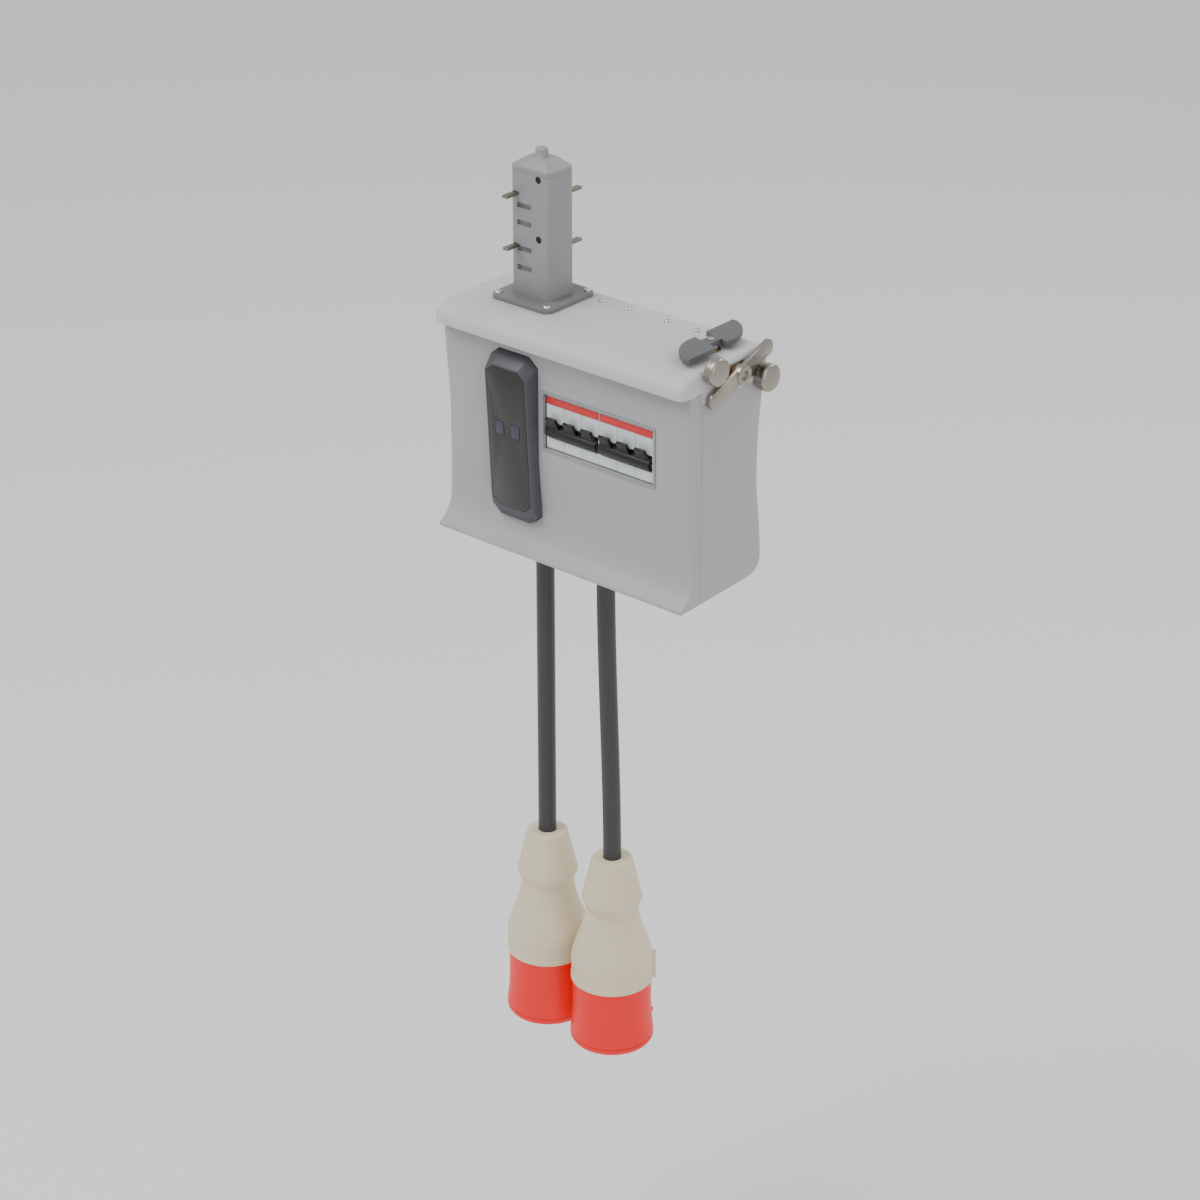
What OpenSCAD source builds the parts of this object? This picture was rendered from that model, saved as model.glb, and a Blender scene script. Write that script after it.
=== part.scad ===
// Busway tap-off box: a moulded housing that plugs into an overhead busway by a
// contact tower, locks to it with a turning claw, protects two three-phase
// outlets with miniature breakers, meters them and feeds two hanging connectors.
// Frame: origin on the deck under the contact tower, on the busway's centreline.
// +X runs along the busway, -Y is the front with the breakers, +Z points up.

/* [Housing] */
// Length of the box along the busway
box_w = 250; // [240:1:280]
// Height of the box from the deck to the underside
box_h = 192; // [188:1:210]
// Front face to the busway's centreline
front_off = 51; // [50:0.5:55]
// Rear face to the busway's centreline, at the deck
rear_off = 40.5; // [39.5:0.5:46]
// Wall of the mouldings
wall = 3; // [2.5:0.5:3.5]
// Deck to the underside of the hood's front lip
lip_h = 17; // [16:0.5:18]
// Deck to the seam under the hood's side walls
side_h = 26; // [25:0.5:30]
// How far the hood's front lip stands out from the front face
lip_out = 11.5; // [9:0.5:14]
// How far the bottom lip flares out from the front face
flare_out = 10; // [8:0.5:12]
// Radius of the rear upper edge
top_r = 10; // [8:0.5:12]
// Radius of the rear lower edge
sole_r = 16; // [12:1:20]
// Depth of the waist in the rear face
waist = 8; // [4:0.5:9]
// Radius of the front vertical edges at mid height
end_r = 11; // [6:0.5:12]
// Open seam between two mouldings
seam = 0.3; // [0.2:0.05:0.5]

/* [Contact tower] */
// Left end of the box to the tower's centre
tower_inset = 59; // [56:1:64]
// Width of the tower
tower_w = 39; // [36:1:42]
// Depth of the tower
tower_d = 29; // [27:1:32]
// Deck to the tower's shoulder
tower_h = 107; // [104:1:112]
// Width of the flange under the tower
flange_w = 60; // [56:1:64]
// Depth of the flange under the tower
flange_d = 58; // [54:1:62]
// Thickness of the flange
flange_t = 4; // [3:0.5:5]
// Radius of the pilot boss on the tower's tip
pilot_r = 5; // [4:0.5:5.5]
// How far the contact blades reach out of the tower
blade_out = 13; // [10:1:15]

/* [Lock] */
// Right end of the box to the claw's spindle
claw_inset = 24; // [22:1:28]
// Length of the claw across the busway
claw_len = 84; // [76:1:86]
// Thickness of the claw
claw_t = 4; // [3.5:0.5:5]
// Height of the claw's underside over the deck
claw_lift = 4.2; // [4.1:0.1:5]
// Centre of the handle to the centre of each knob
arm = 33; // [31:1:35]
// Diameter of the handle's knobs
knob_d = 22; // [18:1:24]
// Tilt of the locked handle
tilt = 21; // [15:1:24]
// Radius of the spindle and of the handle's shaft
shaft_r = 3; // [2.5:0.5:3.5]

/* [Breakers] */
// Pitch of one breaker pole
pole_w = 17.7; // [17.5:0.1:18]
// Poles in one breaker
poles = 3; // [3:1:3]
// Height of the breakers' front and of the cover's cut-out for it
nose_h = 45; // [44:0.5:46]
// Deck to the middle of the breakers
breaker_drop = 75.5; // [73:0.5:80]
// Tower's centre to the middle of the two breakers
breaker_x = 100; // [99:0.5:102]
// Width of one toggle lever
toggle_w = 10; // [8:0.5:11]
// Pivot to the tip of a toggle lever
toggle_len = 15; // [13:0.5:16]

/* [Meter] */
// Width of the meter at the front face
meter_w = 48; // [44:1:50]
// Height of the meter at the front face
meter_h = 140; // [130:1:142]
// Tower's centre to the middle of the meter
meter_x = 15.3; // [14:0.1:17]
// How far the middle of the meter stands out
meter_out = 8; // [6:0.5:10]
// Lean of the meter's face towards the floor
meter_lean = 3.3; // [0:0.1:5]
// Travel of the meter's keys
key_travel = 0.8; // [0.5:0.1:1]

/* [Outlets] */
// Diameter of the outlet cables
cable_d = 15; // [13:0.5:16]
// Largest diameter of the connectors' shell
shell_d = 69; // [67:0.5:70]
// Diameter of the connectors' collar behind its mouth
collar_d = 66; // [65:0.5:67]
// Inside diameter of the collar
collar_bore = 60.4; // [60:0.2:61]
// Diameter of the socket insert
insert_d = 50; // [48:0.5:50.5]
// Bore of the live and neutral contact tubes
tube_bore = 5.6; // [5:0.1:5.6]
// Bore of the earth contact tube
earth_bore = 7.6; // [7:0.1:8]

/* [Hidden] */
$fn = 48;

// Main planes of the housing
x0 = -tower_inset;
x1 = x0 + box_w;
lip_z = -lip_h;
seam_z = -side_h;
sole_z = -box_h;
lip_y = -front_off - lip_out;
tip_y = -front_off - flare_out;
split_y = -front_off + 12;
in_x0 = x0 + wall;
in_x1 = x1 - wall;

// Housing outlines. Each is one curve of [y, z] points, moved inwards by w.
nose_d = 21.5;
nose_h2 = 13;
nose_n = 9;
edge_n = 5;
function arc(cy, cz, ry, rz, a0, a1, n) =
    [for (k = [0 : n]) let (a = a0 + (a1 - a0) * k / n) [cy + ry * cos(a), cz + rz * sin(a)]];

// Over the hood: front lip, elliptical nose, flat deck, rounded rear edge
function hood_curve(w) = concat(
    [[lip_y + w + 0.8, seam_z], [lip_y + w, seam_z + 0.8]],
    arc(lip_y + nose_d, -nose_h2, nose_d - w, nose_h2 - w, 180, 90, nose_n),
    arc(rear_off - top_r, -top_r, top_r - w, top_r - w, 90, 0, edge_n),
    [[rear_off - w, seam_z]]);

// Around the body: front face, concave flare, underside, rounded sole, waisted rear
dip = 4;
flare_r = 24;
flare_z = sole_z + 25;
flare_y = -front_off + dip - flare_r;
waist_z = sole_z + 91;
sole_y = rear_off - 1.5 - sole_r;
function ramp(t) = t < 0 ? 0 : t > 1 ? 1 : (1 - cos(180 * t)) / 2;
dip_z = sole_z + 87;
function front_y(z) = -front_off + dip * ramp((dip_z - z) / (dip_z - flare_z));
function rear_y(z) = z > waist_z
    ? rear_off - waist * (1 - pow((z - waist_z) / (lip_z - waist_z), 2))
    : rear_off - waist + (waist - 1.5) * pow(sin(90 * (waist_z - z) / (waist_z - sole_z - sole_r)), 2);
function flare_a(w) = min(acos((tip_y + w - flare_y) / (flare_r + w)),
                          asin((flare_z - sole_z - w - 1.2) / (flare_r + w)));
front_n = 8;
flare_n = 7;
sole_n = 3;
rear_n = 12;
function body_pt(i, w) =
    let (a = flare_a(w), ye = flare_y + (flare_r + w) * cos(a), i1 = i - front_n - 1,
         i2 = i1 - flare_n, i3 = i2 - 2 - sole_n, i4 = i3 - edge_n)
    i <= front_n ? let (z = lip_z + (flare_z - lip_z) * i / front_n) [front_y(z) + w, z] :
    i1 < flare_n ? let (b = a * (i1 + 1) / flare_n)
        [flare_y + (flare_r + w) * cos(b), flare_z - (flare_r + w) * sin(b)] :
    i2 == 0 ? [ye, sole_z + w + 0.8] :
    i2 == 1 ? [ye + 0.8, sole_z + w] :
    i2 < 2 + sole_n ? [ye + 0.8 + (sole_y - ye - 0.8) * (i2 - 1) / (sole_n + 1), sole_z + w] :
    i3 <= edge_n ? let (b = -90 + 90 * i3 / edge_n)
        [sole_y + (sole_r - w) * cos(b), sole_z + sole_r + (sole_r - w) * sin(b)] :
    let (z = sole_z + sole_r + (lip_z - sole_z - sole_r) * i4 / rear_n) [rear_y(z) - w, z];
body_n = front_n + flare_n + sole_n + edge_n + rear_n + 4;
function body_curve(w) = [for (i = [0 : body_n - 1]) body_pt(i, w)];

// Radius of the moulding's end edge at each point of the body's curve: small at
// the bottom lip, end_r at mid height, back_r round the sole and the rear face
tip_r = 1.5;
back_r = 7;
function body_r(i) =
    let (p = body_pt(i, 0))
    i <= front_n + flare_n + 2
    ? tip_r + (end_r - tip_r) * pow(sin(180 * (p[1] - sole_z) / (lip_z + 12 - sole_z)), 2)
    : p[1] > sole_z + 1 ? back_r : tip_r + (back_r - tip_r) * (p[0] - tip_y) / (sole_y - tip_y);

// A bar along X whose section is a curve, its end edges rounded by radius rs[i].
// Each end face is a fan of triangles round the point hub = [y, z].
round_n = 3;
module rounded_bar(curves, rs, xa, xb, hub) {
    n = len(rs);
    m = 2 * (round_n + 1);
    last = (m - 1) * n;
    pts = concat([for (k = [0 : m - 1]) for (i = [0 : n - 1])
        let (p = curves[k][i], e = rs[i] * (1 - sin(edge_lead(k))))
        [k <= round_n ? xa + e : xb - e, p[0], p[1]]], [[xa, hub[0], hub[1]], [xb, hub[0], hub[1]]]);
    faces = concat(
        [for (i = [0 : n - 1]) [i, (i + 1) % n, m * n]],
        [for (k = [0 : m - 2]) for (i = [0 : n - 1]) let (j = (i + 1) % n)
            [k * n + i, (k + 1) * n + i, (k + 1) * n + j]],
        [for (k = [0 : m - 2]) for (i = [0 : n - 1]) let (j = (i + 1) % n)
            [k * n + i, (k + 1) * n + j, k * n + j]],
        [for (i = [0 : n - 1]) [last + (i + 1) % n, last + i, m * n + 1]]);
    polyhedron(points = pts, faces = faces, convexity = 6);
}
function edge_lead(k) = k <= round_n ? 90 - 90 * k / round_n : 90 * (k - round_n - 1) / round_n;

// A bar along X with a plain section between two ends
module plain_bar(curve, xa, xb) {
    translate([xa, 0, 0]) rotate([90, 0, 90]) linear_extrude(xb - xa) polygon(curve);
}

hood_r = 6;
module hood_block() {
    n = len(hood_curve(0));
    rs = [for (i = [0 : n - 1]) hood_r];
    curves = [for (k = [0 : 2 * round_n + 1])
        let (w = hood_r * (1 - cos(edge_lead(k)))) [for (p = hood_curve(w)) [p[0], max(p[1], seam_z)]]];
    rounded_bar(curves, rs, x0, x1, [0, seam_z / 2]);
}

module body_block() {
    rs = [for (i = [0 : body_n - 1]) body_r(i)];
    curves = [for (k = [0 : 2 * round_n + 1])
        [for (i = [0 : body_n - 1]) body_pt(i, rs[i] * (1 - cos(edge_lead(k))))]];
    rounded_bar(curves, rs, x0, x1, [-10, flare_z + 2]);
}

// Cutters that only have to be longer than the box reach this far
far = 200;

// The hollow inside each moulding runs on through its open side by this much
run_on = 6;
// Extra wall at the ends of the body, behind its large corner radius
end_extra = 2.5;
module hood_hollow() {
    c = hood_curve(wall);
    plain_bar(concat([[c[1][0], seam_z - run_on]], [for (i = [2 : len(c) - 1]) c[i]],
        [[rear_off - wall, seam_z - run_on]]), in_x0, in_x1);
}
module body_hollow() {
    plain_bar(concat([[front_y(lip_z) + wall, lip_z + run_on]], body_curve(wall),
        [[rear_off - wall, lip_z + run_on]]), in_x0 + end_extra, in_x1 - end_extra);
}
module body_skin() {
    difference() {
        body_block();
        body_hollow();
        translate([x0 - 1, -far / 2, lip_z - seam]) cube([box_w + 2, far, run_on + 4]);
    }
}

// Fastener places shared by the pieces that they join
flange_bolts = [for (sx = [-1, 1]) for (sy = [-1, 1]) [sx * (flange_w / 2 - 5), sy * (flange_d / 2 - 5)]];
rail_bolts = [42, 67, 107, 136];
rail_y = 22;
plate_y = 24;
plate_t = 1.5;
plate_bolts = [for (x = [in_x0 + 14, in_x1 - 14]) for (z = [seam_z - 22, sole_z + 36]) [x, z]];
cover_bolts = [x0 + 22, x1 - 22];
screw_r = 1.6;
hole_r = 1.9;

// Pan-head screw pointing down from z = 0
module pan_screw(head_r, head_h, shank) {
    rotate_extrude() polygon(concat([[0, -shank], [screw_r, -shank], [screw_r, 0], [head_r, 0]],
        [for (a = [0 : 30 : 90]) [head_r - head_h * 0.8 * (1 - cos(a)), head_h * (0.2 + 0.8 * sin(a))]],
        [[0, head_h]]));
}

spigot_w = 34;
spigot_d = 24;
spigot_fit = 0.2;
claw_x = x1 - claw_inset;
shaft_z = -12;
bush_r = 6;
bush_flange_r = 7.5;
end_plate_y = 2;
end_plate_bolts = [for (s = [-1, 1]) [s * 17, shaft_z + 5]];

module hood() {
    color([0.70, 0.70, 0.71]) difference() {
        hood_block();
        hood_hollow();
        translate([x0 - 1, lip_y - 1, seam_z - 1]) cube([box_w + 2, split_y - lip_y + 1, lip_z - seam_z + 1]);
        translate([-spigot_w / 2 - spigot_fit, -spigot_d / 2 - spigot_fit, -wall - 1])
            cube([spigot_w + 2 * spigot_fit, spigot_d + 2 * spigot_fit, wall + 2]);
        for (p = flange_bolts) translate([p[0], p[1], -wall - 1]) cylinder(r = hole_r, h = wall + 2);
        for (x = rail_bolts) translate([x, rail_y, -wall - 1]) cylinder(r = hole_r, h = wall + 2);
        translate([claw_x, 0, -wall - 1]) cylinder(r = bush_r, h = wall + 2);
        translate([x1 - wall - 1, 0, shaft_z]) rotate([0, 90, 0]) cylinder(r = bush_r, h = wall + 2);
        for (p = end_plate_bolts) translate([x1 - wall - 1, p[0], p[1]])
            rotate([0, 90, 0]) cylinder(r = hole_r, h = wall + 2);
    }
}

boss_r = 5;
gland_thread_r = 12.5;
outlet_x = [2, 66];
outlet_y = -2;
module rear_shell() {
    color([0.60, 0.60, 0.61]) difference() {
        union() {
            intersection() {
                body_skin();
                translate([x0 - 1, split_y + seam, sole_z - 1])
                    cube([box_w + 2, far, seam_z - seam - sole_z + 1]);
            }
            for (p = plate_bolts) translate([p[0], plate_y + plate_t, p[1]]) rotate([-90, 0, 0])
                cylinder(r = boss_r, h = rear_y(p[1]) - wall / 2 - plate_y - plate_t);
        }
        for (p = plate_bolts) translate([p[0], plate_y, p[1]])
            rotate([-90, 0, 0]) cylinder(r = screw_r, h = plate_t + 6);
        for (x = outlet_x) translate([x, outlet_y, sole_z - 1]) cylinder(r = gland_thread_r, h = wall + 2);
    }
}

// Cut-outs of the front cover
meter_cut = 9;
function cut_corner(w, h, c) = [[-w / 2 + c, -h / 2], [w / 2 - c, -h / 2], [w / 2, -h / 2 + c * 0.8],
    [w / 2, h / 2 - c * 0.8], [w / 2 - c, h / 2], [-w / 2 + c, h / 2], [-w / 2, h / 2 - c * 0.8],
    [-w / 2, -h / 2 + c * 0.8]];
nose_w = 2 * poles * pole_w;
win_w = nose_w + 3.6;
win_h = nose_h + 1;
win_z = -breaker_drop;
meter_z = lip_z - 10 - meter_h / 2;
tongue_h = 6;
module front_cover() {
    color([0.63, 0.63, 0.64]) difference() {
        union() {
            intersection() {
                body_skin();
                translate([x0 - 1, split_y - far, sole_z - 1]) cube([box_w + 2, far, box_h]);
            }
            translate([in_x0 + 6, -front_off + wall - 1, lip_z - seam - 6])
                cube([box_w - 2 * wall - 12, wall, tongue_h + 6]);
        }
        translate([breaker_x - win_w / 2, -front_off - 5, win_z - win_h / 2]) cube([win_w, 20, win_h]);
        translate([meter_x, -front_off + 20, meter_z]) rotate([90, 0, 0]) linear_extrude(40)
            polygon(cut_corner(meter_w + 2 * seam, meter_h + 2 * seam, meter_cut));
        for (x = cover_bolts) translate([x, split_y - 7, sole_z - 1]) cylinder(r = hole_r, h = wall + 2);
    }
}

// Thin raised frame round the breakers' cut-out
frame_w = 1.6;
frame_t = 0.8;
module window_frame() {
    color([0.52, 0.53, 0.55]) translate([breaker_x, -front_off - frame_t, win_z]) rotate([-90, 0, 0])
        difference() {
            linear_extrude(frame_t - 0.05) square([win_w + 2 * frame_w, win_h + 2 * frame_w], center = true);
            translate([0, 0, -1]) linear_extrude(frame_t + 2) square([win_w, win_h], center = true);
        }
}

module cover_screws() {
    color("gray") for (x = cover_bolts) translate([x, split_y - 7, sole_z]) rotate([180, 0, 0])
        pan_screw(3, 1.8, wall + 5);
}

module deck_screws() {
    color([0.86, 0.86, 0.86]) for (x = rail_bolts) translate([x, rail_y, 0]) pan_screw(2.9, 1.7, wall + 4);
}

rail_t = 3;
module chassis_rail() {
    color([0.7, 0.72, 0.74]) difference() {
        translate([rail_bolts[0] - 8, rail_y - 9, -wall - rail_t])
            cube([rail_bolts[3] - rail_bolts[0] + 16, 18, rail_t]);
        for (x = rail_bolts) translate([x, rail_y, -wall - rail_t - 1]) cylinder(r = screw_r, h = rail_t + 2);
    }
}

module chassis_plate() {
    color([0.75, 0.77, 0.79]) difference() {
        translate([in_x0 + 4, plate_y, sole_z + 26])
            cube([box_w - 2 * wall - 8, plate_t, seam_z - sole_z - 36]);
        for (p = plate_bolts) translate([p[0], plate_y - 1, p[1]])
            rotate([-90, 0, 0]) cylinder(r = hole_r, h = plate_t + 2);
    }
}

module chassis_screws() {
    color("silver") for (p = plate_bolts) translate([p[0], plate_y, p[1]]) rotate([90, 0, 0])
        pan_screw(3.2, 1.8, plate_t + 5);
}

// Contact tower
module round_plate(w, d, t, r) {
    linear_extrude(t) union() {
        square([w - 2 * r, d], center = true);
        square([w, d - 2 * r], center = true);
        for (sx = [-1, 1]) for (sy = [-1, 1]) translate([sx * (w / 2 - r), sy * (d / 2 - r)]) circle(r = r);
    }
}
module tower_flange() {
    color([0.33, 0.34, 0.35]) difference() {
        round_plate(flange_w, flange_d, flange_t, 7);
        translate([-spigot_w / 2 - spigot_fit, -spigot_d / 2 - spigot_fit, -1])
            cube([spigot_w + 2 * spigot_fit, spigot_d + 2 * spigot_fit, flange_t + 2]);
        for (p = flange_bolts) translate([p[0], p[1], -1]) cylinder(r = hole_r, h = flange_t + 2);
    }
}
module flange_screws() {
    color([0.8, 0.8, 0.8]) for (p = flange_bolts) translate([p[0], p[1], flange_t])
        pan_screw(3, 1.8, flange_t + wall + 3);
}

// Bars at the left rear of the front slots, mirrored by a half turn for the rear ones.
// Each is [depth from the face, height of its blade].
bar_w = 5;
bar_t = 2.4;
bar_gap = 0.2;
bar_x = -tower_w / 2 + 5.5;
bars = [[5.5, 43], [10.5, 85]];
slot_levels = [25.5, 41, 62, 76];
slot_w = 15;
slot_hh = 4.5;
slot_in = 3;
cap_h = 4;
tower_bolts = [flange_t + 48, tower_h - cap_h - 3];
tower_edge = 2.2;
bolt_x = 8.7;
module bar_shape(depth, level, gap) {
    y = -tower_d / 2 + depth;
    translate([bar_x - bar_w / 2 - gap, y - bar_t / 2 - gap, -24 - gap])
        cube([bar_w + 2 * gap, bar_t + 2 * gap, 24 + level + bar_t / 2 + 2 * gap]);
    translate([bar_x - bar_w / 2 - gap, -tower_d / 2 - blade_out, level - bar_t / 2 - gap])
        cube([bar_w + 2 * gap, blade_out + depth, bar_t + 2 * gap]);
}
module chamfered_column(w, d, h, c) {
    linear_extrude(h) polygon([[-w / 2 + c, -d / 2], [w / 2 - c, -d / 2], [w / 2, -d / 2 + c],
        [w / 2, d / 2 - c], [w / 2 - c, d / 2], [-w / 2 + c, d / 2], [-w / 2, d / 2 - c],
        [-w / 2, -d / 2 + c]]);
}
module contact_tower() {
    color([0.47, 0.48, 0.49]) difference() {
        union() {
            translate([0, 0, flange_t])
                chamfered_column(tower_w, tower_d, tower_h - cap_h - flange_t, tower_edge);
            translate([-spigot_w / 2, -spigot_d / 2, -wall - 3])
                cube([spigot_w, spigot_d, wall + 3 + flange_t]);
        }
        for (turn = [0, 180]) rotate(turn) {
            for (b = bars) bar_shape(b[0], b[1], bar_gap);
            for (z = slot_levels) translate([-slot_w + 1.5, -tower_d / 2 - 1, z - slot_hh / 2])
                cube([slot_w, slot_in + 1, slot_hh]);
            for (z = tower_bolts) translate([bolt_x, -tower_d / 2 - 1, z]) rotate([-90, 0, 0]) {
                cylinder(r = 2.9, h = 3);
                cylinder(r = screw_r, h = 9);
            }
        }
    }
}
module contact_bars() {
    color([0.62, 0.56, 0.42]) for (turn = [0, 180]) rotate(turn) for (b = bars) bar_shape(b[0], b[1], 0);
}
module bar_carrier() {
    color([0.2, 0.2, 0.22]) difference() {
        translate([-20, -14, -22]) cube([40, 28, 22 - wall - 3]);
        for (turn = [0, 180]) rotate(turn) for (b = bars) bar_shape(b[0], 40, bar_gap);
    }
}

// Moulded lead-in cap with its round pilot boss
cap_rise = 7;
pilot_h = 7;
module tower_cap() {
    z0 = tower_h - cap_h;
    tx = 9;
    ty = 7;
    corners = [[-1, -1], [1, -1], [1, 1], [-1, 1]];
    b = [for (c = corners) [c[0] * tower_w / 2, c[1] * tower_d / 2]];
    t = [for (c = corners) [c[0] * tx, c[1] * ty]];
    color([0.50, 0.51, 0.52]) union() {
        intersection() {
            polyhedron(points = concat([for (p = b) [p[0], p[1], z0]], [for (p = b) [p[0], p[1], tower_h]],
                    [for (p = t) [p[0], p[1], tower_h + cap_rise]]),
                faces = concat([[0, 1, 2, 3], [11, 10, 9, 8]],
                    [for (i = [0 : 3]) [i, i + 4, (i + 1) % 4 + 4, (i + 1) % 4]],
                    [for (i = [0 : 3]) [i + 4, i + 8, (i + 1) % 4 + 8, (i + 1) % 4 + 4]]));
            translate([0, 0, z0 - 1])
                chamfered_column(tower_w, tower_d, cap_rise + cap_h + 2, tower_edge);
        }
        translate([0, 0, tower_h + cap_rise - 1]) rotate_extrude() polygon(concat([[0, 0], [pilot_r, 0]],
            [for (a = [0 : 30 : 90]) [pilot_r - 2 * (1 - cos(a)), pilot_h - 1 + 2 * sin(a)]],
            [[0, pilot_h + 1]]));
    }
}
module tower_screws() {
    color([0.2, 0.2, 0.2]) for (turn = [0, 180]) rotate(turn) for (z = tower_bolts)
        translate([bolt_x, -tower_d / 2 + 2, z]) rotate([-90, 0, 0]) {
            translate([0, 0, -1.6]) cylinder(r = 2.7, h = 1.6);
            cylinder(r = screw_r, h = 5.9);
        }
}

// Lock: claw, spindle and mitred sector drive
neck = 5;
lobe_w = 13;
claw_half = [[-neck, -6], [-12, -4], [-12.6, -13], [-10.5, -22], [-6.5, -30], [0, -37], [8, -claw_len / 2],
    [lobe_w, -claw_len / 2], [lobe_w, -10], [neck, -8]];
module claw() {
    color([0.28, 0.28, 0.29]) translate([claw_x, 0, claw_lift]) difference() {
        linear_extrude(claw_t) polygon(concat(claw_half, [for (p = claw_half) -p]));
        translate([0, 0, -1]) cylinder(r = shaft_r, h = claw_t + 2);
    }
}

// Spindle gear and handle sector: module 1, 14 teeth driven by a part of 21
pinion_n = 14;
sector_n = 21;
cone = atan(pinion_n / sector_n);
cone_r = sqrt(pow(pinion_n / 2, 2) + pow(sector_n / 2, 2));
toe = 0.75;
root = 1.2;
module bevel_tooth(d) {
    pts = [for (s = [toe, 1]) for (q = [[-root - 0.2, 0.95], [0.85, 0.26]]) for (e = [-1, 1])
        [s * (cone_r * sin(d) + q[0] * cos(d)), s * e * q[1], s * (cone_r * cos(d) - q[0] * sin(d))]];
    polyhedron(points = pts, faces = [[0, 2, 3, 1], [4, 5, 7, 6], [0, 1, 5, 4], [2, 6, 7, 3],
        [0, 4, 6, 2], [1, 3, 7, 5]]);
}
// Section of a gear blank behind its root cone: [radius, distance from the apex]
function blank(d, bore, back) = [
    [bore, toe * (cone_r * cos(d) + root * sin(d))],
    [toe * (cone_r * sin(d) - root * cos(d)), toe * (cone_r * cos(d) + root * sin(d))],
    [cone_r * sin(d) - root * cos(d), cone_r * cos(d) + root * sin(d)],
    [cone_r * sin(d) - root * cos(d), back], [bore, back]];
pinion_back = cone_r * cos(cone) + root * sin(cone) + 3;
sector_back = cone_r * sin(cone) + root * cos(cone) + 2.5;
module claw_pinion() {
    color([0.72, 0.62, 0.35]) translate([claw_x, 0, shaft_z]) rotate([180, 0, 0]) {
        rotate_extrude() polygon(blank(cone, shaft_r, pinion_back));
        for (k = [0 : pinion_n - 1]) rotate(360 * k / pinion_n) bevel_tooth(cone);
    }
}
first_tooth = -4.5;
last_tooth = 1.5;
module handle_sector() {
    step = 360 / sector_n;
    a0 = (first_tooth - 0.6) * step;
    a1 = (last_tooth + 0.6) * step;
    color([0.72, 0.62, 0.35]) translate([claw_x, 0, shaft_z]) rotate([0, 90, 0]) {
        intersection() {
            rotate_extrude() polygon(blank(90 - cone, shaft_r, sector_back));
            linear_extrude(20) union() {
                circle(r = 5.5);
                polygon(concat([[0, 0]],
                    [for (k = [0 : 4]) let (a = a0 + (a1 - a0) * k / 4) 22 * [cos(a), sin(a)]]));
            }
        }
        for (k = [first_tooth : last_tooth]) rotate(k * step) bevel_tooth(90 - cone);
    }
}
bush_lip = 1.2;
run_gap = 0.05;
end_gap = 0.3;
module claw_spindle() {
    color([0.75, 0.75, 0.76]) translate([claw_x, 0, 0]) {
        translate([0, 0, shaft_z - pinion_back - 1])
            cylinder(r = shaft_r, h = claw_lift + claw_t - shaft_z + pinion_back + 1.6);
        translate([0, 0, bush_lip + end_gap]) cylinder(r = 5.5, h = claw_lift - bush_lip - end_gap);
    }
}
module flanged_bush(len) {
    difference() {
        union() {
            translate([0, 0, -len]) cylinder(r = bush_r, h = len);
            cylinder(r = bush_flange_r, h = bush_lip);
        }
        translate([0, 0, -len - 1]) cylinder(r = shaft_r + run_gap, h = len + bush_lip + 2);
    }
}
module spindle_bush() {
    color([0.6, 0.5, 0.3]) translate([claw_x, 0, 0]) flanged_bush(wall + 3);
}
end_t = 1.5;
end_plate_w = 50;
end_plate_h = 17;
module shaft_bush() {
    color([0.6, 0.5, 0.3]) translate([x1 + end_t, 0, shaft_z]) rotate([0, 90, 0])
        flanged_bush(wall + end_t + 3);
}
module bearing_plate() {
    color([0.58, 0.55, 0.50]) translate([x1, 0, 0]) rotate([90, 0, 90]) difference() {
        translate([end_plate_y, shaft_z]) round_plate(end_plate_w, end_plate_h, end_t, 5);
        translate([0, shaft_z, -1]) cylinder(r = bush_r, h = end_t + 2);
        for (p = end_plate_bolts) translate([p[0], p[1], -1]) cylinder(r = hole_r, h = end_t + 2);
    }
}
module plate_screws() {
    color([0.3, 0.3, 0.3]) for (p = end_plate_bolts) translate([x1 + end_t, p[0], p[1]]) rotate([0, 90, 0])
        pan_screw(2.6, 1, end_t + wall + 3);
}
arm_x = x1 + end_t + bush_lip + end_gap;
arm_t = 3;
arm_w = 13;
knob_t = 9;
knob_lift = 2.1;
module arm_slab() {
    translate([arm_x, 0, shaft_z]) rotate([0, 90, 0]) rotate(90 + tilt) {
        translate([-arm, -arm_w / 2, 0]) cube([2 * arm, arm_w, arm_t]);
        for (s = [-1, 1]) translate([s * arm, 0, 0]) cylinder(r = arm_w / 2, h = arm_t);
    }
}
module lock_handle() {
    color([0.60, 0.57, 0.52]) {
        difference() {
            union() {
                arm_slab();
                translate([arm_x, 0, shaft_z]) rotate([0, 90, 0]) cylinder(r = 8, h = arm_t + 3);
                translate([claw_x + shaft_r + 1.5, 0, shaft_z]) rotate([0, 90, 0])
                    cylinder(r = shaft_r, h = arm_x - claw_x - shaft_r - 1.4);
            }
            translate([arm_x + arm_t + 1.5, 0, shaft_z]) rotate([0, 90, 0]) cylinder(r = 4, h = 5, $fn = 6);
        }
    }
}
module handle_knobs() {
    r = knob_d / 2;
    color([0.66, 0.64, 0.60]) difference() {
        for (s = [-1, 1])
            translate([x1 + knob_lift, s * arm * cos(tilt), shaft_z - s * arm * sin(tilt)]) rotate([0, 90, 0])
            rotate_extrude() polygon(concat([[0, 0], [r - 1, 0]], [for (a = [-60 : 30 : 90])
                [r - 2.5 + 2.5 * cos(a), a < 0 ? 1.2 + 1.2 * sin(a) : knob_t - 2.5 + 2.5 * sin(a)]],
                [[0, knob_t]]));
        arm_slab();
    }
}

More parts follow.
